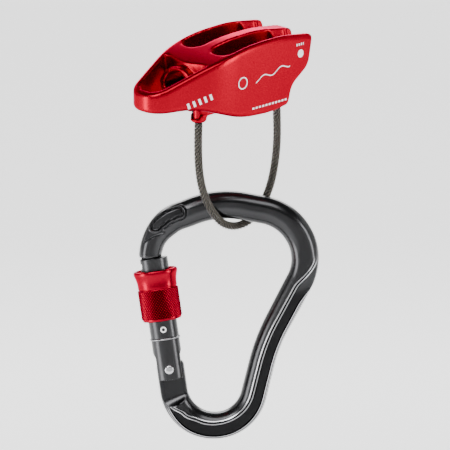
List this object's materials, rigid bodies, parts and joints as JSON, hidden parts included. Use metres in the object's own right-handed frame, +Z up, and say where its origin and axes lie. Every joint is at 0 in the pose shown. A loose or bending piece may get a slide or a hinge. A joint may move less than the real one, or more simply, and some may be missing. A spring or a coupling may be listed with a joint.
{
  "type": "rope descender",
  "caption": "Forged twin-slot tube descender on a wire keeper loop, with a pear-shaped screw-gate carabiner hanging in the loop.",
  "frame": {"origin": "centre of the block between the two rope slots, on the device's middle plane", "axes": "+X from the nose towards the ribbed stern, +Z up, out of the slots' upper mouths; +Y to the left looking from the nose to the stern"},
  "size_m": [0.0834, 0.0586, 0.1723],
  "materials": {
    "red_anodised": "bright red anodised forging",
    "red_sleeve": "red anodised turning, diamond knurled",
    "grey_forging": "dark grey anodised, polished satin",
    "grey_barrel": "dark grey anodised, turned",
    "wire_rope": "galvanised strands",
    "clear_jacket": "smoky clear plastic tube",
    "swaged_metal": "pressed",
    "bright_steel": "bright rivet",
    "spring_steel": "drawn wire",
    "black_nylon": "moulded"
  },
  "bodies": {
    "descender": {"descender_body": "red_anodised", "front_cable_end": "wire_rope", "rear_cable_end": "wire_rope", "front_ferrule": "swaged_metal", "rear_ferrule": "swaged_metal"},
    "keeper": {"keeper_cable": "wire_rope", "cable_jacket": "clear_jacket"},
    "carabiner": {"carabiner_body": "grey_forging"},
    "gate_arm": {"gate": "grey_barrel", "gate_rivet": "bright_steel", "stop_ring": "spring_steel", "gate_spring": "spring_steel"},
    "plunger": {"gate_plunger": "bright_steel"},
    "sleeve_drag": {"drag_ring": "black_nylon"},
    "sleeve": {"screw_sleeve": "red_sleeve"}
  },
  "joints": [
    {"name": "keeper_sway", "type": "hinge", "parent": "descender", "child": "keeper", "pos_m": [-0.0185, 0, -0.0176], "axis": [0.9597, 0, 0.2809], "range_deg": [-30, 30], "stiffness_Nm_per_rad": 0.06},
    {"name": "carabiner_swing", "type": "hinge", "parent": "keeper", "child": "carabiner", "pos_m": [0.0032, 0, -0.0587], "axis": [0.7157, -0.6984, 0], "range_deg": [-90, 140]},
    {"name": "gate_open", "type": "hinge", "parent": "carabiner", "child": "gate_arm", "pos_m": [-0.02865, 0.00759, -0.12614], "axis": [0.6777, 0.6944, -0.2419], "range_deg": [0, 27], "stiffness_Nm_per_rad": 0.5, "springref_deg": -22.92, "deforming": ["gate_spring"]},
    {"name": "plunger_slide", "type": "slide", "parent": "gate_arm", "child": "plunger", "axis": [0.0639, 0.2721, 0.9601], "range_m": [0, 0.0015]},
    {"name": "sleeve_slide", "type": "slide", "parent": "gate_arm", "child": "sleeve_drag", "axis": [0.0639, 0.2721, 0.9601], "range_m": [-0.007, 0.008]},
    {"name": "sleeve_turn", "type": "hinge", "parent": "sleeve_drag", "child": "sleeve", "pos_m": [-0.02865, 0.00759, -0.12614], "axis": [0.0639, 0.2721, 0.9601], "range_deg": [-1300, 1480]}
  ],
  "couplings": [
    {"joint": "plunger_slide", "follows": "gate_open", "m_per_rad": 0.003},
    {"joint": "sleeve_turn", "follows": "sleeve_slide", "rad_per_m": 3141.6}
  ]
}
